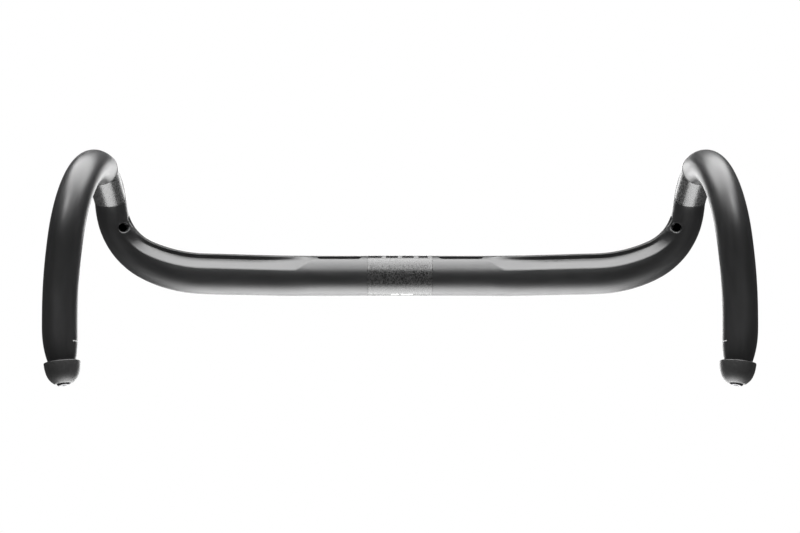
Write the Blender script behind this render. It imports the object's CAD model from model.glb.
import math

import bmesh
import bpy
from mathutils import Matrix, Vector


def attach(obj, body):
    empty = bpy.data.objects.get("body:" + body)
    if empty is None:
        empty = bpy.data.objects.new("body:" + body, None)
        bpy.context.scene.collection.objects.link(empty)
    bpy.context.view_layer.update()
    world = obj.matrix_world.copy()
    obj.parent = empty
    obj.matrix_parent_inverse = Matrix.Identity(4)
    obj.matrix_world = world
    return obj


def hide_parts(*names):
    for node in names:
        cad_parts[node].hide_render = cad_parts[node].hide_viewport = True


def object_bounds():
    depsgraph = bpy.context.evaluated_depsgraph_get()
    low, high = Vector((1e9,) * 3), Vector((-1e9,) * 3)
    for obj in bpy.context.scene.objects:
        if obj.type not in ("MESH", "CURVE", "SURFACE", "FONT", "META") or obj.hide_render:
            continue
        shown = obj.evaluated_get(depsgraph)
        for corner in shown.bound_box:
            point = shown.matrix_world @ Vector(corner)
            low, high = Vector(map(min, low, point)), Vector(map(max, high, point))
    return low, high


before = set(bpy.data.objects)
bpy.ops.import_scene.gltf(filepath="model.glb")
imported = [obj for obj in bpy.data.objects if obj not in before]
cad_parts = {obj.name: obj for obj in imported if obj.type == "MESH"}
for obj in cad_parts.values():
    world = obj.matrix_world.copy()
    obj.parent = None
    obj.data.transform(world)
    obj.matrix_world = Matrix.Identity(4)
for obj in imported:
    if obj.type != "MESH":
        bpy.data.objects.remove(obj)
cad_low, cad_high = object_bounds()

scene = bpy.context.scene
MM = 0.001


# ---------------------------------------------------------------------------
# Camera: straight below the middle of the bar, looking up at its underside,
# with the front of the bar towards the top of the frame.
# ---------------------------------------------------------------------------
camera_data = bpy.data.cameras.new("camera")
camera_data.lens = 60.0
camera_data.sensor_width = 36.0
camera = bpy.data.objects.new("camera", camera_data)
camera.location = (0.0, -0.00746, -1.025)
camera.rotation_euler = (math.pi, 0.0, 0.0)
scene.collection.objects.link(camera)
scene.camera = camera
scene.view_settings.view_transform = "Standard"


# ---------------------------------------------------------------------------
# Studio: soft boxes ahead of, behind and above the bar, with weak ones low at
# each side and low at the rear. The pale floor shows only from above, so the
# underside is seen against plain white.
# ---------------------------------------------------------------------------
def soft_box(name, place, aim, width, height, power, spread=180.0):
    lamp = bpy.data.lights.new(name, "AREA")
    lamp.shape = "RECTANGLE"
    lamp.size = width
    lamp.size_y = height
    lamp.energy = power
    lamp.spread = math.radians(spread)
    lamp_object = bpy.data.objects.new(name, lamp)
    lamp_object.location = place
    lamp_object.rotation_mode = "QUATERNION"
    lamp_object.rotation_quaternion = (Vector(aim) - Vector(place)).to_track_quat("-Z", "Y")
    lamp_object.visible_camera = False
    scene.collection.objects.link(lamp_object)


soft_box("front_box", (0.0, -0.95, 0.02), (0.0, 0.0, -0.05), 1.6, 1.0, 46.0)
for side, lamp_side in ((1, "left"), (-1, "right")):
    soft_box(f"{lamp_side}_grid_box", (side * 0.40, -0.72, -0.66), (side * 0.235, -0.03, -0.11),
             0.66, 0.50, 0.75, spread=38.0)
soft_box("rear_box", (0.0, 0.95, 0.06), (0.0, 0.0, -0.03), 0.95, 1.0, 31.0)
soft_box("low_rear_box", (0.0, 0.92, -0.56), (0.0, 0.0, -0.03), 0.9, 0.3, 2.6)
soft_box("top_box", (0.0, 0.35, 1.2), (0.0, 0.0, 0.0), 1.1, 1.6, 27.0)

world = bpy.data.worlds.new("studio")
world.use_nodes = True
scene.world = world
sky_nodes, sky_links = world.node_tree.nodes, world.node_tree.links
sky_nodes.clear()
seen_sky = sky_nodes.new("ShaderNodeBackground")
seen_sky.inputs["Color"].default_value = (1.0, 1.0, 1.0, 1.0)
room_light = sky_nodes.new("ShaderNodeBackground")
room_light.inputs["Color"].default_value = (1.0, 1.0, 1.0, 1.0)
room_light.inputs["Strength"].default_value = 0.10
ray_kind = sky_nodes.new("ShaderNodeLightPath")
sky_mix = sky_nodes.new("ShaderNodeMixShader")
sky_out = sky_nodes.new("ShaderNodeOutputWorld")
sky_links.new(ray_kind.outputs["Is Camera Ray"], sky_mix.inputs["Fac"])
sky_links.new(room_light.outputs["Background"], sky_mix.inputs[1])
sky_links.new(seen_sky.outputs["Background"], sky_mix.inputs[2])
sky_links.new(sky_mix.outputs["Shader"], sky_out.inputs["Surface"])

floor_half = 60.0
floor_height = cad_low.z - 0.0004
floor_mesh = bpy.data.meshes.new("studio_floor")
floor_mesh.from_pydata(
    [(-floor_half, -floor_half, floor_height), (floor_half, -floor_half, floor_height),
     (floor_half, floor_half, floor_height), (-floor_half, floor_half, floor_height)],
    [], [(0, 1, 2, 3)])
floor = bpy.data.objects.new("studio_floor", floor_mesh)
scene.collection.objects.link(floor)
floor_paint = bpy.data.materials.new("pale_floor")
floor_paint.use_nodes = True
nodes, links = floor_paint.node_tree.nodes, floor_paint.node_tree.links
nodes.clear()
paper = nodes.new("ShaderNodeBsdfDiffuse")
paper.inputs["Color"].default_value = (0.05, 0.05, 0.0495, 1.0)
glow = nodes.new("ShaderNodeEmission")
glow.inputs["Color"].default_value = (0.66, 0.66, 0.655, 1.0)
lit_paper = nodes.new("ShaderNodeAddShader")
links.new(paper.outputs["BSDF"], lit_paper.inputs[0])
links.new(glow.outputs["Emission"], lit_paper.inputs[1])
unseen = nodes.new("ShaderNodeBsdfTransparent")
facing = nodes.new("ShaderNodeNewGeometry")
front_side = nodes.new("ShaderNodeMath")
front_side.operation = "SUBTRACT"
front_side.inputs[0].default_value = 1.0
shown = nodes.new("ShaderNodeMath")
shown.operation = "MULTIPLY"
ray_kind = nodes.new("ShaderNodeLightPath")
floor_mix = nodes.new("ShaderNodeMixShader")
floor_out = nodes.new("ShaderNodeOutputMaterial")
links.new(facing.outputs["Backfacing"], front_side.inputs[1])
links.new(front_side.outputs[0], shown.inputs[0])
links.new(ray_kind.outputs["Is Camera Ray"], shown.inputs[1])
links.new(shown.outputs[0], floor_mix.inputs["Fac"])
links.new(unseen.outputs["BSDF"], floor_mix.inputs[1])
links.new(lit_paper.outputs["Shader"], floor_mix.inputs[2])
links.new(floor_mix.outputs["Shader"], floor_out.inputs["Surface"])
floor.data.materials.append(floor_paint)


# ---------------------------------------------------------------------------
# Bar shell: one hollow moulding in carbon laminate, laid up round a bladder in
# a two-part mould and finished in satin clear coat. The underside of the tops
# has a groove for the cables, which enter and leave by moulded openings.
# ---------------------------------------------------------------------------
WALL = 2.0
THICK_WALL, THICK_TO = 2.4, 64.0      # the middle is laid up thicker, this far out
CLAMP_R = 15.9
CENTRE_R = 15.7
BAND_HALF = 24.6
BAND_SEAT_R = 15.6
GRIP_R = 11.9
BLEND_END = 238.0
NECK_LENGTH = 24.0
NECK_DROP = 2.55
BORE_R = 7.5
BORE_DEPTH = 34.0

line_corners = [
    (0, 0, 0), (85, 0, 0), (171.6, -2.2, 0), (217.6, -23.4, -7.5), (219.0, -79.5, -24.0),
    (222.0, -81.5, -113.2), (231.3, 2.0, -117.4), (230.1, 38.0, -123.0), (227.7, 56.9, -126.8),
]
line_bends = [900, 98, 47, 39.5, 58, 250, 120]

# distance along the line, half width, half height, depth of the groove
tops_shape = [
    (60, 15.7, 15.7, 0.0), (72, 15.75, 15.3, 0.4), (84, 15.85, 14.4, 1.3),
    (98, 15.8, 13.5, 1.9), (115, 15.8, 13.2, 2.3), (135, 15.9, 13.1, 2.3),
    (150, 15.9, 13.1, 2.3), (163, 15.8, 13.1, 2.3), (175, 15.5, 13.0, 2.2),
    (186, 15.1, 12.9, 2.0), (197, 14.5, 12.7, 1.7), (207, 13.7, 12.5, 1.2),
    (217, 13.0, 12.3, 0.2), (226, 12.4, 12.1, -2.4), (238, 11.9, 11.9, -4.6),
]
GROOVE_FRONT_TURN, GROOVE_REAR_TURN = math.radians(19.3), math.radians(71.6)
GROOVE_CORNER = 2.3
GROOVE_SKIN = 1.8                     # laminate left between the groove and the hollow
GROOVE_FROM, GROOVE_FULL, GROOVE_TO = 58.0, 81.0, 236.0
NOT_MET, PARALLEL = 500.0, 1e4        # reaches that stand for a line that isn't met
LAY_R, LAY_INSIDE_R = 14.0, 12.0      # outer and inner skin on the straightened bar


def bent_line(corners, bends):
    """Points every half millimetre or so along straight runs joined by round bends."""
    corners = [Vector(c) for c in corners]
    points, last = [], corners[0]
    for at, bend in zip(range(1, len(corners) - 1), bends):
        corner = corners[at]
        way_in = (corner - corners[at - 1]).normalized()
        way_out = (corners[at + 1] - corner).normalized()
        turn = way_in.angle(way_out)
        reach = bend * math.tan(turn / 2)
        start = corner - way_in * reach
        steps = max(2, int((start - last).length / 0.5))
        points += [last.lerp(start, k / steps) for k in range(steps)]
        axis = way_in.cross(way_out).normalized()
        middle = start + axis.cross(way_in) * bend
        steps = max(4, int(bend * turn / 0.5))
        for k in range(steps):
            points.append(middle + Matrix.Rotation(turn * k / steps, 3, axis) @ (start - middle))
        last = corner + way_out * reach
    steps = int((corners[-1] - last).length / 0.5)
    points += [last.lerp(corners[-1], k / steps) for k in range(steps + 1)]
    return points


def even_points(points, gap):
    """The same line with its points an even distance apart."""
    out, want, gone = [points[0].copy()], gap, 0.0
    for here, there in zip(points, points[1:]):
        span = (there - here).length
        while span > 0 and want <= gone + span + 1e-9:
            out.append(here.lerp(there, (want - gone) / span))
            want += gap
        gone += span
    return out


LINE_GAP = 0.5
raw_line = even_points(bent_line(line_corners, line_bends), LINE_GAP)
LINE_LENGTH = (len(raw_line) - 1) * LINE_GAP
EASE = 16                 # the bends ease into the runs over this many points


def eased(k):
    """A point of the line, averaged with its neighbours; the bar is mirrored at its middle."""
    total, weight = Vector(), 0.0
    for d in range(-EASE, EASE + 1):
        i = k + d
        if i < 0:
            p = raw_line[-i].copy()
            p.x = -p.x
        elif i >= len(raw_line):
            p = raw_line[-1] + (raw_line[-1] - raw_line[-2]) * (i - len(raw_line) + 1)
        else:
            p = raw_line[i]
        w = math.exp(-0.5 * (d / (EASE * 0.42)) ** 2)
        total += p * w
        weight += w
    return total / weight


bar_line = [eased(k) for k in range(len(raw_line))]
line_ways, line_forward, line_down = [], [], []
for k in range(len(bar_line)):
    before, after = max(k - 1, 0), min(k + 1, len(bar_line) - 1)
    way = (bar_line[after] - bar_line[before]).normalized()
    if k == 0:
        way = Vector((1, 0, 0))
    line_ways.append(way)
    if k * LINE_GAP <= BLEND_END:
        forward = way.cross(Vector((0, 0, 1))).normalized()
    else:
        forward = (line_forward[-1] - way * line_forward[-1].dot(way)).normalized()
    line_forward.append(forward)
    line_down.append(way.cross(forward).normalized())


def at_line(s):
    """Place, way along, forward and down directions at a distance along the bar."""
    f = min(max(s / LINE_GAP, 0.0), len(bar_line) - 1.000001)
    k, t = int(f), f - int(f)
    return (bar_line[k].lerp(bar_line[k + 1], t),
            line_ways[k].lerp(line_ways[k + 1], t).normalized(),
            line_forward[k].lerp(line_forward[k + 1], t).normalized(),
            line_down[k].lerp(line_down[k + 1], t).normalized())


def tops_at(s):
    """Half width, half height and groove depth, eased between the listed places."""
    rows = tops_shape
    if s <= rows[0][0]:
        return CENTRE_R, CENTRE_R, rows[0][3]
    if s >= rows[-1][0]:
        return GRIP_R, GRIP_R, rows[-1][3]
    k = max(i for i in range(len(rows) - 1) if rows[i][0] <= s)
    a, b, c, d = (rows[min(max(i, 0), len(rows) - 1)] for i in (k - 1, k, k + 1, k + 2))
    t = (s - b[0]) / (c[0] - b[0])
    out = []
    for n in (1, 2, 3):
        m0 = (c[n] - a[n]) / (c[0] - a[0]) * (c[0] - b[0])
        m1 = (d[n] - b[n]) / (d[0] - b[0]) * (c[0] - b[0])
        out.append((2 * t**3 - 3 * t**2 + 1) * b[n] + (t**3 - 2 * t**2 + t) * m0
                   + (3 * t**2 - 2 * t**3) * c[n] + (t**3 - t**2) * m1)
    return tuple(out)


def soft_min(a, b, soft):
    """The smaller of two values, rounded off where they meet."""
    gap = max(soft - abs(a - b), 0.0) / soft
    return min(a, b) - gap * gap * soft / 4


def groove_marks(s):
    """Front lip, corner and rear lip; the rear lip sweeps up to the front near the middle."""
    w, h, depth = tops_at(s)
    grown = min(max((s - GROOVE_FROM) / (GROOVE_FULL - GROOVE_FROM), 0.02), 1.0)
    grown = grown * grown * (3 - 2 * grown)
    rear_turn = GROOVE_FRONT_TURN + (GROOVE_REAR_TURN - GROOVE_FRONT_TURN) * grown
    front = Vector((w * math.cos(GROOVE_FRONT_TURN), h * math.sin(GROOVE_FRONT_TURN)))
    rear = Vector((w * math.cos(rear_turn), h * math.sin(rear_turn)))
    chord = (rear - front).normalized()
    inwards = Vector((-abs(chord.y), -abs(chord.x)))
    along = min(GROOVE_CORNER, (rear - front).length * 0.3)
    corner = front + chord * along + inwards * depth * grown
    return front, corner, rear


def reach_to(p, q, way):
    """Distance from the middle to the straight line through p and q."""
    along = (q - p).normalized()
    out = Vector((along.y, -along.x))
    if out.dot(p) < 0:
        out = -out
    slope = out.dot(way)
    return out.dot(p) / slope if slope > 1e-4 else PARALLEL


def outer_reach(s, turn, grooved=True):
    """Distance from the line to the outer skin; turn runs from forward to down."""
    if s > BLEND_END:
        from_end = LINE_LENGTH - s
        if from_end < NECK_LENGTH:
            return GRIP_R - NECK_DROP * (1 - max(from_end, 0.0) / NECK_LENGTH) ** 2.6
        return GRIP_R
    w, h, depth = tops_at(s)
    if s < BAND_HALF:
        w = h = BAND_SEAT_R
    c, d = math.cos(turn), math.sin(turn)
    plain = 1 / math.sqrt((c / w) ** 2 + (d / h) ** 2)
    if not grooved or not GROOVE_FROM < s < GROOVE_TO or c < -0.1 or d < -0.1:
        return plain
    front, corner, rear = groove_marks(s)
    way = Vector((c, d))
    wall, facet = reach_to(front, corner, way), reach_to(corner, rear, way)
    if depth < 0:
        cut = min(wall, facet)
    elif facet > NOT_MET or facet < 0 or wall > NOT_MET:
        cut = wall
    else:
        cut = -soft_min(-wall, -facet, 0.9)
    return soft_min(plain, cut, 0.5)


def skin(s, turn, lift=0.0):
    """A place on the outer skin, or lifted off it."""
    place, _, forward, down = at_line(s)
    reach = outer_reach(s, turn) + lift
    return place + (forward * math.cos(turn) + down * math.sin(turn)) * reach


PLUG_PLACE = Vector(line_corners[-1])
PLUG_OUT = (Vector(line_corners[-1]) - Vector(line_corners[-2])).normalized()
PLUG_SIDE = PLUG_OUT.cross(Vector((0, 0, 1))).normalized()
PLUG_OTHER = PLUG_OUT.cross(PLUG_SIDE).normalized()


def inside(s, turn):
    """The hollow: one laminate inside the skin, then the straight bore for the plug."""
    place, _, forward, down = at_line(s)
    way = forward * math.cos(turn) + down * math.sin(turn)
    from_end = LINE_LENGTH - s
    if from_end < BORE_DEPTH:
        flat_way = (way - PLUG_OUT * way.dot(PLUG_OUT)).normalized()
        return PLUG_PLACE - PLUG_OUT * from_end + flat_way * BORE_R
    wall = WALL if s > THICK_TO else THICK_WALL
    plain = outer_reach(s, turn, False) - wall
    return place + way * min(plain, outer_reach(s, turn) - GROOVE_SKIN)


def ring_turns(s):
    """Angles of the points round the bar, close together at the lips of the groove."""
    front, corner, rear = groove_marks(min(max(s, 60.0), 214.0))
    f, c, r = (math.degrees(math.atan2(p.y, p.x)) for p in (front, corner, rear))
    r = max(r, f + 22)
    marks = [(r + 6, 52), (360 + f - 4.5, 5), (360 + f - 0.4, 8), (360 + c + 0.6, 4),
             (360 + c + 5, 7), (360 + r - 6, 10), (360 + r + 6, 0)]
    turns = []
    for (start, count), (end, _) in zip(marks, marks[1:]):
        turns += [math.radians(start + (end - start) * k / count) for k in range(count)]
    return turns


RING = len(ring_turns(100.0))

stations = [0.0, 8.0, 16.0, 23.5, 24.45, 24.62, 25.4]
while stations[-1] < BLEND_END:
    stations.append(stations[-1] + 2.0)
while stations[-1] < LINE_LENGTH - 26:
    stations.append(stations[-1] + 2.4)
tail = [24, 22, 20, 18, 16, 14, 12, 10, 8, 6, 4.2, 2.6, 1.2, 0.4]
stations = [s for s in stations if s < LINE_LENGTH - 25] + [LINE_LENGTH - e for e in tail]

verts, faces, lay = [], [], []


def lay_place(s, turn, reach=LAY_R):
    """The same place if the bar were straight, so that grain follows the laminate."""
    return s, reach * math.cos(turn), reach * math.sin(turn)


def add_point(p, s, turn, reach=LAY_R):
    """Adds a point to the bar, with its place on the straightened bar."""
    verts.append(p)
    lay.append(lay_place(s, turn, reach))
    return len(verts) - 1


outer_ids, inner_ids = [], []
for s in stations:
    turns = ring_turns(s)
    outer_ids.append([add_point(skin(s, a), s, a) for a in turns])
    inner_ids.append([add_point(inside(s, a), s, a, LAY_INSIDE_R) for a in turns])


def opening(at, turn, half_length, hole_r, lip, first, last, turn_from, turn_to):
    """A rounded opening moulded through the wall; returns the cells it takes the place of."""
    rows = [i for i, s in enumerate(stations) if first <= s <= last]
    turns = ring_turns(at)
    cols = [j for j in range(RING)
            if turn_from <= (math.degrees(turns[j]) + 180) % 360 - 180 <= turn_to]
    cols.sort(key=lambda j: (math.degrees(turns[j]) + 180) % 360 - 180)
    loop = [(rows[0], j) for j in cols] + [(i, cols[-1]) for i in rows[1:]]
    loop += [(rows[-1], j) for j in cols[-2::-1]] + [(i, cols[0]) for i in rows[-2:0:-1]]
    size = GRIP_R if at > 200 else CENTRE_R
    place, _, forward, down = at_line(at)
    out = forward * math.cos(turn) + down * math.sin(turn)

    def at_ring(i, j, r):
        u = stations[i] - at
        v = size * ((ring_turns(stations[i])[j] - turn + math.pi) % (2 * math.pi) - math.pi)
        base = min(max(u, -half_length), half_length)
        angle = math.atan2(v, u - base)
        if r is None:
            return u, v
        return base + r * math.cos(angle), r * math.sin(angle)

    def ring_of(surface, spread, r, drop):
        ids = []
        for i, j in loop:
            u0, v0 = at_ring(i, j, None)
            u1, v1 = at_ring(i, j, r)
            u, v = u0 + (u1 - u0) * spread, v0 + (v1 - v0) * spread
            swing = v / size
            edge_turn = turn + (math.asin(max(-1, min(1, swing))) if spread == 1 else swing)
            p = surface(at + u, edge_turn) - out * drop
            ids.append(add_point(p, at + u, edge_turn))
        return ids

    rings = [[outer_ids[i][j] for i, j in loop]]
    rings += [ring_of(skin, t, hole_r + lip[0][0], 0.0) for t in (0.35, 0.68, 0.88)]
    rings += [ring_of(skin, 1.0, hole_r + extra, drop) for extra, drop in lip]
    rings += [ring_of(inside, 1.0, hole_r, 0.0)]
    rings += [ring_of(inside, 0.5, hole_r, 0.0)]
    rings += [[inner_ids[i][j] for i, j in loop]]
    for a, b in zip(rings, rings[1:]):
        for k in range(len(loop)):
            n = (k + 1) % len(loop)
            faces.append((a[k], b[k], b[n], a[n]))
    return {(i, j) for i in rows[:-1] for j in cols[:-1]}


PORT_AT, PORT_TURN, PORT_R = 230.0, math.radians(52.0), 3.9
EXIT_IN, EXIT_OUT, EXIT_HALF, EXIT_TURN = 30.0, 63.0, 2.7, math.radians(20.75)
# each lip: distance outside the hole's edge, and how far below the skin
port_lip = [(1.9, 0.0), (1.4, 0.03), (1.0, 0.16), (0.6, 0.42), (0.25, 0.8), (0.06, 1.2),
            (0.0, 1.6)]
exit_lip = [(0.8, 0.0), (0.5, 0.02), (0.25, 0.12), (0.08, 0.32), (0.0, 0.65)]
taken = opening(PORT_AT, PORT_TURN, 0.0, PORT_R, port_lip, 220.5, 239.5, 16, 88)
taken |= opening((EXIT_IN + EXIT_OUT) / 2, EXIT_TURN, (EXIT_OUT - EXIT_IN) / 2 - EXIT_HALF,
                 EXIT_HALF, exit_lip, 25.2, 68.0, 3, 40)
for i in range(len(stations) - 1):
    for j in range(RING):
        if (i, j) in taken:
            continue
        n = (j + 1) % RING
        out_here, out_next = outer_ids[i], outer_ids[i + 1]
        in_here, in_next = inner_ids[i], inner_ids[i + 1]
        faces.append((out_here[j], out_next[j], out_next[n], out_here[n]))
        faces.append((in_here[j], in_here[n], in_next[n], in_next[j]))
end_turns = ring_turns(LINE_LENGTH)
end_rings = [outer_ids[-1]]
for reach, short in ((9.25, 0.1), (9.0, 0.0), (7.9, 0.0), (7.62, 0.12)):
    ids = []
    for a in end_turns:
        _, _, forward, down = at_line(LINE_LENGTH)
        way = forward * math.cos(a) + down * math.sin(a)
        way = (way - PLUG_OUT * way.dot(PLUG_OUT)).normalized()
        p = PLUG_PLACE + way * reach - PLUG_OUT * short
        ids.append(add_point(p, LINE_LENGTH, a))
    end_rings.append(ids)
end_rings.append(inner_ids[-1])
for a, b in zip(end_rings, end_rings[1:]):
    for j in range(RING):
        n = (j + 1) % RING
        faces.append((a[j], b[j], b[n], a[n]))


def make_piece(name, points, cells, smooth_angle=40.0, lay_points=None, mirror=False):
    """A mesh object from points in millimetres, smooth apart from its sharp edges."""
    side = -1.0 if mirror else 1.0
    mesh = bpy.data.meshes.new(name)
    mesh.from_pydata([(p[0] * MM * side, p[1] * MM, p[2] * MM) for p in points], [],
                     [tuple(reversed(c)) if mirror else c for c in cells])
    if lay_points:
        store = mesh.attributes.new("lay", "FLOAT_VECTOR", "POINT")
        store.data.foreach_set("vector", [x * MM for p in lay_points for x in p])
    build = bmesh.new()
    build.from_mesh(mesh)
    bmesh.ops.recalc_face_normals(build, faces=build.faces)
    for edge in build.edges:
        if len(edge.link_faces) == 2:
            edge.smooth = edge.calc_face_angle(0.0) < math.radians(smooth_angle)
    for face in build.faces:
        face.smooth = True
    build.to_mesh(mesh)
    build.free()
    piece = bpy.data.objects.new(name, mesh)
    scene.collection.objects.link(piece)
    return piece


count = len(verts)
verts += [Vector((-p.x, p.y, p.z)) for p in verts]
lay += [(-s, a, b) for s, a, b in lay]
faces += [tuple(k + count for k in reversed(cell)) for cell in faces]
bar = make_piece("carbon_bar", verts, faces, 62.0, lay)
build = bmesh.new()
build.from_mesh(bar.data)
seam = [v for v in build.verts if abs(v.co.x) < 1e-6]
bmesh.ops.remove_doubles(build, verts=seam, dist=1e-6)
bmesh.ops.recalc_face_normals(build, faces=build.faces)
build.to_mesh(bar.data)
build.free()


def new_group(name, inputs, outputs):
    """A shader node group with named sockets; returns its tree, input node and output node."""
    tree = bpy.data.node_groups.new(name, "ShaderNodeTree")
    for label, kind, value in inputs:
        socket = tree.interface.new_socket(label, in_out="INPUT", socket_type=kind)
        if value is not None:
            socket.default_value = value
    for label, kind in outputs:
        tree.interface.new_socket(label, in_out="OUTPUT", socket_type=kind)
    return tree, tree.nodes.new("NodeGroupInput"), tree.nodes.new("NodeGroupOutput")


def remap(tree, source, low, high, to_low, to_high):
    """Stretches a value from one range to another."""
    node = tree.nodes.new("ShaderNodeMapRange")
    for label, value in (("From Min", low), ("From Max", high),
                         ("To Min", to_low), ("To Max", to_high)):
        node.inputs[label].default_value = value
    tree.links.new(source, node.inputs["Value"])
    return node.outputs["Result"]


# Grain: soft cloudy change of shade at one size, and a fine surface at another.
grain, grain_in, grain_out = new_group(
    "grain",
    [("Vector", "NodeSocketVector", None), ("Cloud Size", "NodeSocketFloat", 120.0),
     ("Grain Size", "NodeSocketFloat", 2500.0)],
    [("Cloud", "NodeSocketFloat"), ("Grain", "NodeSocketFloat")])
for label, out_label, detail in (("Cloud Size", "Cloud", 3.0), ("Grain Size", "Grain", 2.0)):
    noise = grain.nodes.new("ShaderNodeTexNoise")
    noise.inputs["Detail"].default_value = detail
    grain.links.new(grain_in.outputs["Vector"], noise.inputs["Vector"])
    grain.links.new(grain_in.outputs[label], noise.inputs["Scale"])
    grain.links.new(remap(grain, noise.outputs["Fac"], 0.3, 0.7, 0.0, 1.0),
                    grain_out.inputs[out_label])


def new_material(name, roughness, metallic=0.0):
    material = bpy.data.materials.new(name)
    material.use_nodes = True
    shader = material.node_tree.nodes["Principled BSDF"]
    shader.inputs["Roughness"].default_value = roughness
    shader.inputs["Metallic"].default_value = metallic
    return material, material.node_tree, shader


def lay_vector(tree, stretch=(1.0, 1.0, 1.0)):
    """Place on the straightened bar, squeezed along it so that marks run lengthways."""
    source = tree.nodes.new("ShaderNodeAttribute")
    source.attribute_name = "lay"
    mapping = tree.nodes.new("ShaderNodeMapping")
    mapping.inputs["Scale"].default_value = stretch
    tree.links.new(source.outputs["Vector"], mapping.inputs["Vector"])
    return mapping.outputs["Vector"]


def object_vector(tree):
    return tree.nodes.new("ShaderNodeTexCoord").outputs["Object"]


def use_group(tree, group, vector, **values):
    node = tree.nodes.new("ShaderNodeGroup")
    node.node_tree = group
    tree.links.new(vector, node.inputs["Vector"])
    for label, value in values.items():
        node.inputs[label.replace("_", " ")].default_value = value
    return node


def tint(tree, mask, dark, light):
    """A colour that runs from dark to light with the mask."""
    ramp = tree.nodes.new("ShaderNodeValToRGB")
    ramp.color_ramp.elements[0].color = (*dark, 1.0)
    ramp.color_ramp.elements[1].color = (*light, 1.0)
    tree.links.new(mask, ramp.inputs["Fac"])
    return ramp.outputs["Color"]


def add_bump(tree, shader, height, distance, strength=1.0):
    bump = tree.nodes.new("ShaderNodeBump")
    bump.inputs["Distance"].default_value = distance
    bump.inputs["Strength"].default_value = strength
    tree.links.new(height, bump.inputs["Height"])
    tree.links.new(bump.outputs["Normal"], shader.inputs["Normal"])


carbon, tree, shader = new_material("satin_carbon", 0.4)
carbon_grain = use_group(tree, grain, lay_vector(tree, (0.22, 1.0, 1.0)),
                         Cloud_Size=260.0, Grain_Size=1800.0)
carbon_cloud = carbon_grain.outputs["Cloud"]
tree.links.new(tint(tree, carbon_cloud, (0.0105, 0.0105, 0.0108), (0.0135, 0.0135, 0.014)),
               shader.inputs["Base Color"])
tree.links.new(remap(tree, carbon_cloud, 0.0, 1.0, 0.36, 0.42), shader.inputs["Roughness"])
add_bump(tree, shader, carbon_grain.outputs["Grain"], 0.00001, 0.35)
bar.data.materials.append(carbon)
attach(bar, "bar")
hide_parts("bar_shell")


# ---------------------------------------------------------------------------
# Clamp band: a gritty friction coat sprayed round the middle, where the stem
# grips. A smooth dark strip is printed along its front, with light ticks.
# ---------------------------------------------------------------------------
def round_sleeve(profile, turns, place=skin):
    """Rings of points round the bar: profile lists distance along, then what place needs."""
    points, cells, lays = [], [], []
    angles = [2 * math.pi * k / turns for k in range(turns)]
    for s, reach in profile:
        for a in angles:
            points.append(place(s, a, reach))
            lays.append(lay_place(s, a))
    rings = len(profile)
    for i in range(rings):
        m = (i + 1) % rings
        for j in range(turns):
            n = (j + 1) % turns
            cells.append((i * turns + j, m * turns + j, m * turns + n, i * turns + n))
    return points, cells, lays


def on_centre(s, turn, reach):
    """A place round the straight middle of the bar."""
    return Vector((s, -math.cos(turn) * reach, -math.sin(turn) * reach))


# one rounded edge of the coat: distance along the bar, and distance from its middle
band_edge = [(BAND_HALF, 15.62), (BAND_HALF, 15.78), (24.52, 15.87), (24.4, CLAMP_R)]
band_profile = [(-s, reach) for s, reach in band_edge]
band_profile += [(-24.4 + 48.8 * k / 24, CLAMP_R) for k in range(1, 24)]
band_profile += band_edge[::-1]
points, cells, lays = round_sleeve(band_profile, 120, on_centre)
band = make_piece("grip_band", points, cells, 50.0, lays)

# Grit: sharp little grains that catch the light one by one.
grit, grit_in, grit_out = new_group(
    "grit",
    [("Vector", "NodeSocketVector", None), ("Grit Size", "NodeSocketFloat", 1400.0)],
    [("Specks", "NodeSocketFloat"), ("Height", "NodeSocketFloat")])
cellular = grit.nodes.new("ShaderNodeTexVoronoi")
fine = grit.nodes.new("ShaderNodeTexNoise")
fine.inputs["Detail"].default_value = 3.0
fine.inputs["Roughness"].default_value = 0.7
for node in (cellular, fine):
    grit.links.new(grit_in.outputs["Vector"], node.inputs["Vector"])
    grit.links.new(grit_in.outputs["Grit Size"], node.inputs["Scale"])
grit.links.new(remap(grit, cellular.outputs["Color"], 0.15, 0.95, 0.0, 1.0),
               grit_out.inputs["Specks"])
both = grit.nodes.new("ShaderNodeMath")
both.operation = "ADD"
grit.links.new(cellular.outputs["Distance"], both.inputs[0])
grit.links.new(fine.outputs["Fac"], both.inputs[1])
grit.links.new(both.outputs[0], grit_out.inputs["Height"])


def gritty(name, dark, light, size, depth):
    """A sprayed grit coat; returns its shade too, for a print that goes over it."""
    material, tree, shader = new_material(name, 0.35)
    coat = use_group(tree, grit, lay_vector(tree), Grit_Size=size)
    shade = tint(tree, coat.outputs["Specks"], dark, light)
    rough = remap(tree, coat.outputs["Specks"], 0.0, 1.0, 0.24, 0.38)
    tree.links.new(shade, shader.inputs["Base Color"])
    tree.links.new(rough, shader.inputs["Roughness"])
    add_bump(tree, shader, coat.outputs["Height"], depth)
    return material, tree, shader, shade


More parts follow.
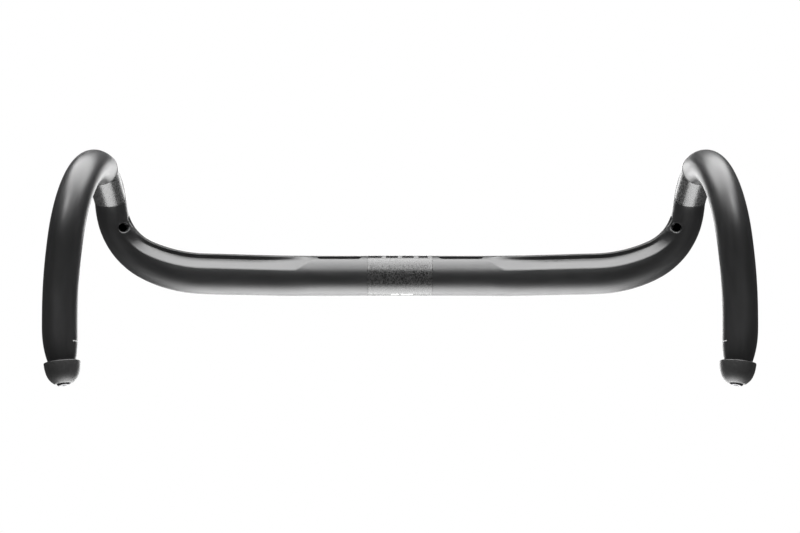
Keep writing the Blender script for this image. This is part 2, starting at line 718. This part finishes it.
STRIP_FROM_TURN, STRIP_TO_TURN = math.radians(15.5), math.radians(27.0)
STRIP_EDGE = 0.0001                   # metres over which the print's edge fades
band_grit, tree, shader, grit_colour = gritty(
    "band_grit", (0.008, 0.008, 0.008), (0.04, 0.04, 0.04), 1250.0, 0.00003)
split = tree.nodes.new("ShaderNodeSeparateXYZ")
source = tree.nodes.new("ShaderNodeAttribute")
source.attribute_name = "lay"
tree.links.new(source.outputs["Vector"], split.inputs["Vector"])
strip_low = LAY_R * MM * math.sin(STRIP_FROM_TURN)
strip_high = LAY_R * MM * math.sin(STRIP_TO_TURN)
above = remap(tree, split.outputs["Z"], strip_low - STRIP_EDGE, strip_low, 0.0, 1.0)
below = remap(tree, split.outputs["Z"], strip_high, strip_high + STRIP_EDGE, 1.0, 0.0)
front_half = remap(tree, split.outputs["Y"], 0.0, STRIP_EDGE, 0.0, 1.0)
strip = above
for other in (below, front_half):
    node = tree.nodes.new("ShaderNodeMath")
    node.operation = "MULTIPLY"
    tree.links.new(strip, node.inputs[0])
    tree.links.new(other, node.inputs[1])
    strip = node.outputs[0]
painted = tree.nodes.new("ShaderNodeMix")
painted.data_type = "RGBA"
tree.links.new(strip, painted.inputs["Factor"])
tree.links.new(grit_colour, painted.inputs["A"])
painted.inputs["B"].default_value = (0.004, 0.004, 0.004, 1.0)
tree.links.new(painted.outputs["Result"], shader.inputs["Base Color"])
tree.links.new(remap(tree, strip, 0.0, 1.0, 0.5, 0.06), shader.inputs["Specular IOR Level"])
band.data.materials.append(band_grit)
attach(band, "bar")
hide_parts("clamp_band")


# ---------------------------------------------------------------------------
# Printed marks on the band: ticks along the front for setting the angle and
# two dashes at the rear for the middle, in one coat of pad-printed white ink.
# ---------------------------------------------------------------------------
def skin_patch(place, s_from, s_to, turn_from, turn_to, base, lift, along=6, around=12):
    """A thin closed patch that lies on a surface, between two distances and two angles."""
    points, cells, lays = [], [], []
    rows, cols = along + 1, around + 1
    for layer in (base, lift):
        for i in range(rows):
            for j in range(cols):
                s = s_from + (s_to - s_from) * i / along
                a = turn_from + (turn_to - turn_from) * j / around
                points.append(place(s, a, layer))
                lays.append(lay_place(s, a))

    def at(layer, i, j):
        return layer * rows * cols + i * cols + j

    for i in range(along):
        for j in range(around):
            cells.append((at(1, i, j), at(1, i + 1, j), at(1, i + 1, j + 1), at(1, i, j + 1)))
            cells.append((at(0, i, j), at(0, i, j + 1), at(0, i + 1, j + 1), at(0, i + 1, j)))
    rim = [(0, j) for j in range(around)] + [(i, around) for i in range(along)]
    rim += [(along, j) for j in range(around, 0, -1)] + [(i, 0) for i in range(along, 0, -1)]
    for (i, j), (m, n) in zip(rim, rim[1:] + rim[:1]):
        cells.append((at(0, i, j), at(1, i, j), at(1, m, n), at(0, m, n)))
    return points, cells, lays


def join_parts(parts):
    """Several separate parts as one list of points, cells and lay points."""
    points, cells, lays = [], [], []
    for p, c, l in parts:
        cells += [tuple(k + len(points) for k in cell) for cell in c]
        points += p
        lays += l
    return points, cells, lays


TICK_PITCH, TICK_WIDTH = 12.3, 3.4
INK_UNDER, INK_TOP = 15.89, 15.93     # the ink sinks into the coat and stands a little proud


def printed_mark(middle, length, turn_from, turn_to):
    return skin_patch(on_centre, middle - length / 2, middle + length / 2,
                      math.radians(turn_from), math.radians(turn_to), INK_UNDER, INK_TOP)


mark_parts = [printed_mark(min(step * TICK_PITCH, BAND_HALF - TICK_WIDTH / 2), TICK_WIDTH, 8, 32)
              for step in (-1, 0, 1, 2)]
TICK_CELLS = sum(len(part[1]) for part in mark_parts)
mark_parts += [printed_mark(middle, length, 147, 153)
               for middle, length in ((-4.0, 6.0), (5.2, 9.0))]
points, cells, lays = join_parts(mark_parts)
marks = make_piece("printed_marks", points, cells, 30.0, lays)


def printed_ink(name, roughness, dark, light):
    """Ink that lies unevenly over the grit below it."""
    material, tree, shader = new_material(name, roughness)
    ink_grain = use_group(tree, grain, lay_vector(tree), Cloud_Size=900.0, Grain_Size=5200.0)
    tree.links.new(tint(tree, ink_grain.outputs["Cloud"], (dark,) * 3, (light,) * 3),
                   shader.inputs["Base Color"])
    add_bump(tree, shader, ink_grain.outputs["Grain"], 0.00003)
    return material


ink = printed_ink("white_ink", 0.55, 0.30, 0.55)
marks.data.materials.append(ink)
marks.data.materials.append(printed_ink("dull_tick_ink", 0.5, 0.05, 0.09))
for index, face in enumerate(marks.data.polygons):
    face.material_index = 1 if index < TICK_CELLS else 0
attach(marks, "bar")
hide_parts("clamp_marks")


# ---------------------------------------------------------------------------
# Lever patches: the same kind of gritty coat, masked off and sprayed round the
# upper hook, so that a brake lever's clamp doesn't slip. Its edges feather out.
# ---------------------------------------------------------------------------
PATCH_FROM, PATCH_TO = 251.5, 287.4
PATCH_LIFT, PATCH_EDGE = 0.22, 0.9
PATCH_FLAT = PATCH_TO - PATCH_FROM - 2 * PATCH_EDGE
# distance along the bar, and how far the coat stands off the skin
patch_profile = [(PATCH_FROM, 0.02), (PATCH_FROM, 0.1), (PATCH_FROM + 0.35, 0.18)]
patch_profile += [(PATCH_FROM + PATCH_EDGE + PATCH_FLAT * k / 18, PATCH_LIFT) for k in range(19)]
patch_profile += [(PATCH_TO - 0.35, 0.18), (PATCH_TO, 0.1), (PATCH_TO, 0.02)]
points, cells, lays = round_sleeve(patch_profile, 96)
lever_grit = gritty("lever_grit", (0.008, 0.008, 0.008), (0.045, 0.045, 0.045), 1250.0, 0.00004)[0]
for mirror, side in ((False, "left"), (True, "right")):
    patch = make_piece(f"{side}_lever_grit_patch", points, cells, 50.0, lays, mirror)
    patch.data.materials.append(lever_grit)
    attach(patch, "bar")
    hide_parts(f"{side}_lever_patch")


# ---------------------------------------------------------------------------
# Trim marks: a short printed line inside each drop, a little above its end,
# that shows how far the bar may be cut down.
# ---------------------------------------------------------------------------
TRIM_FROM_END, TRIM_WIDTH = 12.2, 0.8


def on_drop(s, turn, lift):
    """Near the bar end, with the angle from straight down towards the inside."""
    place, way, _, _ = at_line(s)
    out = way.cross(Vector((0, 0, 1))).normalized()
    down = way.cross(out).normalized()
    return place + (down * math.cos(turn) - out * math.sin(turn)) * (outer_reach(s, 0.0) + lift)


trim_at = LINE_LENGTH - TRIM_FROM_END
points, cells, lays = skin_patch(on_drop, trim_at - TRIM_WIDTH / 2, trim_at + TRIM_WIDTH / 2,
                                 math.radians(60), math.radians(104), -0.02, 0.05, 2, 18)
for mirror, side in ((False, "left"), (True, "right")):
    trim = make_piece(f"{side}_cut_line", points, cells, 30.0, lays, mirror)
    trim.data.materials.append(ink)
    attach(trim, "bar")
    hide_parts(f"{side}_trim_mark")


# ---------------------------------------------------------------------------
# End caps: domed plugs moulded in black nylon, with a spark-textured face.
# The broad rim holds the end of the tape and the spigot sits in the bore.
# ---------------------------------------------------------------------------
def on_plug(r, turn, height):
    """A place on the plug, from its axis, angle and height above the bar end."""
    return (PLUG_PLACE + PLUG_OUT * height
            + (PLUG_SIDE * math.cos(turn) + PLUG_OTHER * math.sin(turn)) * r)


def turned(profile, around=64):
    """A piece turned about the plug's axis from a list of radius and height."""
    points, cells = [], []
    for r, z in profile:
        points += [on_plug(r, 2 * math.pi * k / around, z) for k in range(around)]
    rings = len(profile)
    for i in range(rings):
        m = (i + 1) % rings
        for j in range(around):
            n = (j + 1) % around
            cells.append((i * around + j, m * around + j, m * around + n, i * around + n))
    return points, cells


def plain_surface(name, roughness, metallic, sizes, dark, light, rough_from, rough_to, bump):
    """Bare moulded or metal surface: cloudy shade, varied roughness and a fine grain."""
    material, tree, shader = new_material(name, roughness, metallic)
    node = use_group(tree, grain, object_vector(tree), Cloud_Size=sizes[0], Grain_Size=sizes[1])
    tree.links.new(tint(tree, node.outputs["Cloud"], dark, light), shader.inputs["Base Color"])
    tree.links.new(remap(tree, node.outputs[rough_from], 0.0, 1.0, *rough_to),
                   shader.inputs["Roughness"])
    add_bump(tree, shader, node.outputs["Grain"], *bump)
    return material


cap_profile = [
    (2.7, -6.0), (6.9, -6.0), (7.2, -5.7), (7.2, -0.1), (7.3, 0.05), (11.55, 0.05), (11.85, 0.12),
    (12.04, 0.32), (12.1, 0.65), (12.08, 1.2), (11.98, 2.6), (11.78, 4.2), (11.48, 5.9),
    (11.08, 7.5), (10.52, 9.1), (9.82, 10.6), (9.0, 11.85), (8.1, 12.9), (7.3, 13.65),
    (6.65, 14.2), (6.3, 14.45), (5.9, 14.62), (5.4, 14.7), (4.95, 14.7), (4.75, 14.62),
    (4.65, 14.4), (4.65, 13.4), (4.55, 13.3), (2.8, 13.3), (2.7, 13.2),
]
points, cells = turned(cap_profile, 96)
nylon = plain_surface("cap_nylon", 0.45, 0.0, (350.0, 2600.0), (0.018, 0.018, 0.018),
                      (0.024, 0.024, 0.024), "Grain", (0.42, 0.52), (0.00003, 0.6))
for mirror, side in ((False, "left"), (True, "right")):
    cap = make_piece(f"{side}_domed_cap", points, cells, 42.0, None, mirror)
    cap.data.materials.append(nylon)
    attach(cap, f"{side}_plug")
    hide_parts(f"{side}_end_cap")


# ---------------------------------------------------------------------------
# Washers: punched steel, blackened, one under each screw head. The edge that
# the punch pushed through is a little rounded.
# ---------------------------------------------------------------------------
washer_profile = [(2.72, 13.4), (2.8, 13.31), (4.2, 13.31), (4.33, 13.4), (4.35, 13.6),
                  (4.33, 13.8), (4.2, 13.89), (2.8, 13.89), (2.72, 13.8)]
points, cells = turned(washer_profile)
black_steel = plain_surface("black_steel", 0.35, 0.9, (700.0, 6000.0), (0.05, 0.05, 0.052),
                            (0.10, 0.10, 0.105), "Cloud", (0.30, 0.45), (0.000008, 0.5))
for mirror, side in ((False, "left"), (True, "right")):
    washer = make_piece(f"{side}_washer", points, cells, 42.0, None, mirror)
    washer.data.materials.append(black_steel)
    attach(washer, f"{side}_plug")
    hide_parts(f"{side}_plug_washer")


# ---------------------------------------------------------------------------
# Plug screws: cold-headed steel with a hexagon socket, the thread rolled on.
# Each one draws its wedge nut towards the cap and so spreads the jaws.
# ---------------------------------------------------------------------------
SCREW_AROUND = 72
HEAD_UNDER, HEAD_TOP = 13.92, 16.12
THREAD_PITCH, THREAD_DEPTH, THREAD_TOP, THREAD_END = 0.8, 0.34, -4.0, -29.0


def hexagon(turn, across):
    """Distance from the middle of a hexagon to its edge, its corners slightly rounded."""
    step = math.pi / 3
    off = (turn + step / 2) % step - step / 2
    return min(across / 2 / math.cos(off), across / 2 * 1.14)


def screw_mesh():
    """Rings from the bottom of the socket over the head and down the thread to the tip."""
    points, cells, rings = [], [], []

    def ring(reach, height):
        start = len(points)
        for k in range(SCREW_AROUND):
            a = 2 * math.pi * k / SCREW_AROUND
            r = reach(a) if callable(reach) else reach
            z = height(a) if callable(height) else height
            points.append(on_plug(r, a, z))
        rings.append(list(range(start, start + SCREW_AROUND)))

    ring(0.05, HEAD_TOP - 1.75)
    ring(lambda a: hexagon(a, 2.6) * 0.75, HEAD_TOP - 1.45)
    ring(lambda a: hexagon(a, 2.98), HEAD_TOP - 1.4)
    ring(lambda a: hexagon(a, 3.0), HEAD_TOP - 0.25)
    ring(lambda a: hexagon(a, 3.35), HEAD_TOP - 0.03)
    ring(2.2, HEAD_TOP)
    for a in range(0, 91, 15):
        turn = math.radians(a)
        ring(3.05 + 1.3 * math.sin(turn), HEAD_TOP - 1.15 + 1.15 * math.cos(turn))
    ring(4.35, HEAD_UNDER + 0.12)
    ring(4.22, HEAD_UNDER)
    ring(2.75, HEAD_UNDER)
    ring(2.5, HEAD_UNDER - 0.25)
    ring(2.46, 6.0)
    ring(2.46, THREAD_TOP + 0.6)
    height = THREAD_TOP
    while height > THREAD_END + 0.5:
        fade = min(1.0, (THREAD_TOP - height) / 0.8)

        def thread(a, height=height, fade=fade):
            phase = (height / THREAD_PITCH + a / (2 * math.pi)) % 1.0
            tooth = min(1.0, max(0.0, abs(phase - 0.5) * 2.6 - 0.15))
            return 2.5 - THREAD_DEPTH * fade * (1.0 - tooth)

        ring(thread, height)
        height -= THREAD_PITCH / 6
    ring(2.16, THREAD_END + 0.2)
    ring(1.9, THREAD_END - 0.45)
    ring(0.05, THREAD_END - 0.48)
    for a, b in zip(rings, rings[1:]):
        for k in range(SCREW_AROUND):
            n = (k + 1) % SCREW_AROUND
            cells.append((a[k], b[k], b[n], a[n]))
    cells.append(tuple(rings[0]))
    cells.append(tuple(reversed(rings[-1])))
    return points, cells


points, cells = screw_mesh()
for mirror, side in ((False, "left"), (True, "right")):
    screw = make_piece(f"{side}_socket_screw", points, cells, 38.0, None, mirror)
    screw.data.materials.append(black_steel)
    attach(screw, f"{side}_screw")
    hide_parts(f"{side}_plug_screw")


# ---------------------------------------------------------------------------
# Wedge nuts: tapered square blocks milled from aluminium bar, with the corners
# left round from the bar stock and a tapped hole down the middle.
# ---------------------------------------------------------------------------
WEDGE_SLOPE = 0.15
NUT_TOP, NUT_BOTTOM, NUT_R, NUT_HALF_TOP, NUT_BORE = -13.0, -27.5, 6.9, 3.5, 2.56


def wedge_half(height):
    """Half the distance across the nut's flats at a height."""
    return NUT_HALF_TOP + WEDGE_SLOPE * (NUT_TOP - height)


def nut_mesh(around=96):
    """Rows of height, which wall it is on, and how far the edge is broken there."""
    points, cells = [], []
    low, tall = NUT_BOTTOM + 0.35, NUT_TOP - NUT_BOTTOM - 0.6
    rows = [(NUT_BOTTOM, "bore", 0.0), (NUT_BOTTOM, "flat", 0.35), (low, "flat", 0.0)]
    rows += [(low + tall * k / 8, "flat", 0.0) for k in range(1, 9)]
    rows += [(NUT_TOP, "flat", 0.25), (NUT_TOP, "bore", 0.35), (NUT_TOP - 0.35, "bore", 0.0)]
    for z, kind, back in rows:
        for k in range(around):
            a = 2 * math.pi * k / around
            if kind == "bore":
                r = NUT_BORE + back
            else:
                half = wedge_half(z) - back
                r = min(half / max(abs(math.cos(a)), abs(math.sin(a))), NUT_R - back)
            points.append(on_plug(r, a, z))
    for i in range(len(rows)):
        m = (i + 1) % len(rows)
        for j in range(around):
            n = (j + 1) % around
            cells.append((i * around + j, m * around + j, m * around + n, i * around + n))
    return points, cells


points, cells = nut_mesh()
alloy, tree, shader = new_material("milled_alloy", 0.35, 1.0)
milling = tree.nodes.new("ShaderNodeTexWave")
milling.bands_direction = "Z"
milling.inputs["Scale"].default_value = 900.0
milling.inputs["Distortion"].default_value = 1.5
tree.links.new(object_vector(tree), milling.inputs["Vector"])
alloy_grain = use_group(tree, grain, object_vector(tree), Cloud_Size=500.0, Grain_Size=4000.0)
tree.links.new(tint(tree, alloy_grain.outputs["Cloud"], (0.55, 0.55, 0.57), (0.68, 0.68, 0.70)),
               shader.inputs["Base Color"])
tree.links.new(remap(tree, milling.outputs["Fac"], 0.0, 1.0, 0.28, 0.42),
               shader.inputs["Roughness"])
add_bump(tree, shader, milling.outputs["Fac"], 0.00001, 0.5)
for mirror, side in ((False, "left"), (True, "right")):
    nut = make_piece(f"{side}_milled_nut", points, cells, 30.0, None, mirror)
    nut.data.materials.append(alloy)
    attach(nut, f"{side}_nut")
    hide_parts(f"{side}_wedge_nut")


# ---------------------------------------------------------------------------
# Jaws: four quarter rings moulded in nylon round each wedge nut. Their sloped
# inner flats ride on the nut, and a groove round the outside holds the ring.
# ---------------------------------------------------------------------------
JAW_R, JAW_TOP, JAW_BOTTOM, JAW_BORE = 7.3, -6.3, -27.0, 3.0
JAW_SIDE, JAW_FLAT_GAP = 0.849, 0.05  # gap beside a jaw, and between its flat and the nut
JAW_STEP = 1.5
RING_AT, RING_GROOVE_HALF, RING_GROOVE_R = -16.6, 0.81, 5.9


def jaw_mesh(turn, around=18):
    """Rows of height and how far the outer face is set back there."""
    points, cells = [], []
    rows = [(JAW_TOP, 0.3), (JAW_TOP - 0.3, 0.0)]
    rows += [(JAW_TOP - 0.3 - k * JAW_STEP, 0.0) for k in range(1, 6)]
    top, bottom = RING_AT + RING_GROOVE_HALF, RING_AT - RING_GROOVE_HALF
    deep = JAW_R - RING_GROOVE_R
    rows += [(top + 0.15, 0.0), (top, 0.1), (top - 0.02, deep), (bottom + 0.02, deep),
             (bottom, 0.1), (bottom - 0.15, 0.0)]
    rows += [(bottom - 0.15 - k * JAW_STEP, 0.0) for k in range(1, 6)]
    rows += [(JAW_BOTTOM + 0.3, 0.0), (JAW_BOTTOM, 0.3)]
    for z, back in rows:
        r = JAW_R - back
        end = (JAW_SIDE + math.sqrt(2 * r * r - JAW_SIDE**2)) / 2
        reach = math.atan2(end - JAW_SIDE, end)
        flat = wedge_half(z) + JAW_FLAT_GAP
        half = flat - JAW_SIDE
        swings = [reach * (2 * k / around - 1) for k in range(around + 1)]
        outline = [(r * math.cos(swing), r * math.sin(swing)) for swing in swings]
        for k in range(7):
            y = half * (1 - k / 3)
            x = max(flat, math.sqrt(max(JAW_BORE**2 - y * y, 0.0)))
            outline.append((x, y))
        points += [on_plug(math.hypot(x, y), math.atan2(y, x) + turn, z) for x, y in outline]
    size = len(outline)
    for i in range(len(rows) - 1):
        for j in range(size):
            n = (j + 1) % size
            cells.append((i * size + j, (i + 1) * size + j, (i + 1) * size + n, i * size + n))
    cells.append(tuple(range(size)))
    cells.append(tuple(range((len(rows) - 1) * size, len(rows) * size))[::-1])
    return points, cells


jaw_nylon = plain_surface("jaw_nylon", 0.5, 0.0, (420.0, 3000.0), (0.035, 0.035, 0.036),
                          (0.05, 0.05, 0.052), "Grain", (0.45, 0.6), (0.00002, 0.5))
for place, quarter in (("outer", 0), ("lower", 1), ("inner", 2), ("upper", 3)):
    points, cells = jaw_mesh(quarter * math.pi / 2)
    for mirror, side in ((False, "left"), (True, "right")):
        quarter_jaw = make_piece(f"{side}_{place}_quarter", points, cells, 35.0, None, mirror)
        quarter_jaw.data.materials.append(jaw_nylon)
        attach(quarter_jaw, f"{side}_jaw_{place}_body")
        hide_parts(f"{side}_jaw_{place}")


# ---------------------------------------------------------------------------
# Jaw rings: small rubber rings that hold the four jaws in round the nut while
# the plug is pushed into the bar.
# ---------------------------------------------------------------------------
RING_MIDDLE_R, RING_THICK_R = 6.55, 0.6
ring_profile = [(RING_MIDDLE_R + RING_THICK_R * math.cos(2 * math.pi * k / 16),
                 RING_AT + RING_THICK_R * math.sin(2 * math.pi * k / 16)) for k in range(16)]
points, cells = turned(ring_profile, 72)
rubber = plain_surface("ring_rubber", 0.7, 0.0, (600.0, 3500.0), (0.018, 0.018, 0.018),
                       (0.03, 0.03, 0.03), "Grain", (0.62, 0.8), (0.00002, 0.5))
for mirror, side in ((False, "left"), (True, "right")):
    rubber_ring = make_piece(f"{side}_rubber_ring", points, cells, 60.0, None, mirror)
    rubber_ring.data.materials.append(rubber)
    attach(rubber_ring, f"{side}_plug")
    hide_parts(f"{side}_jaw_ring")
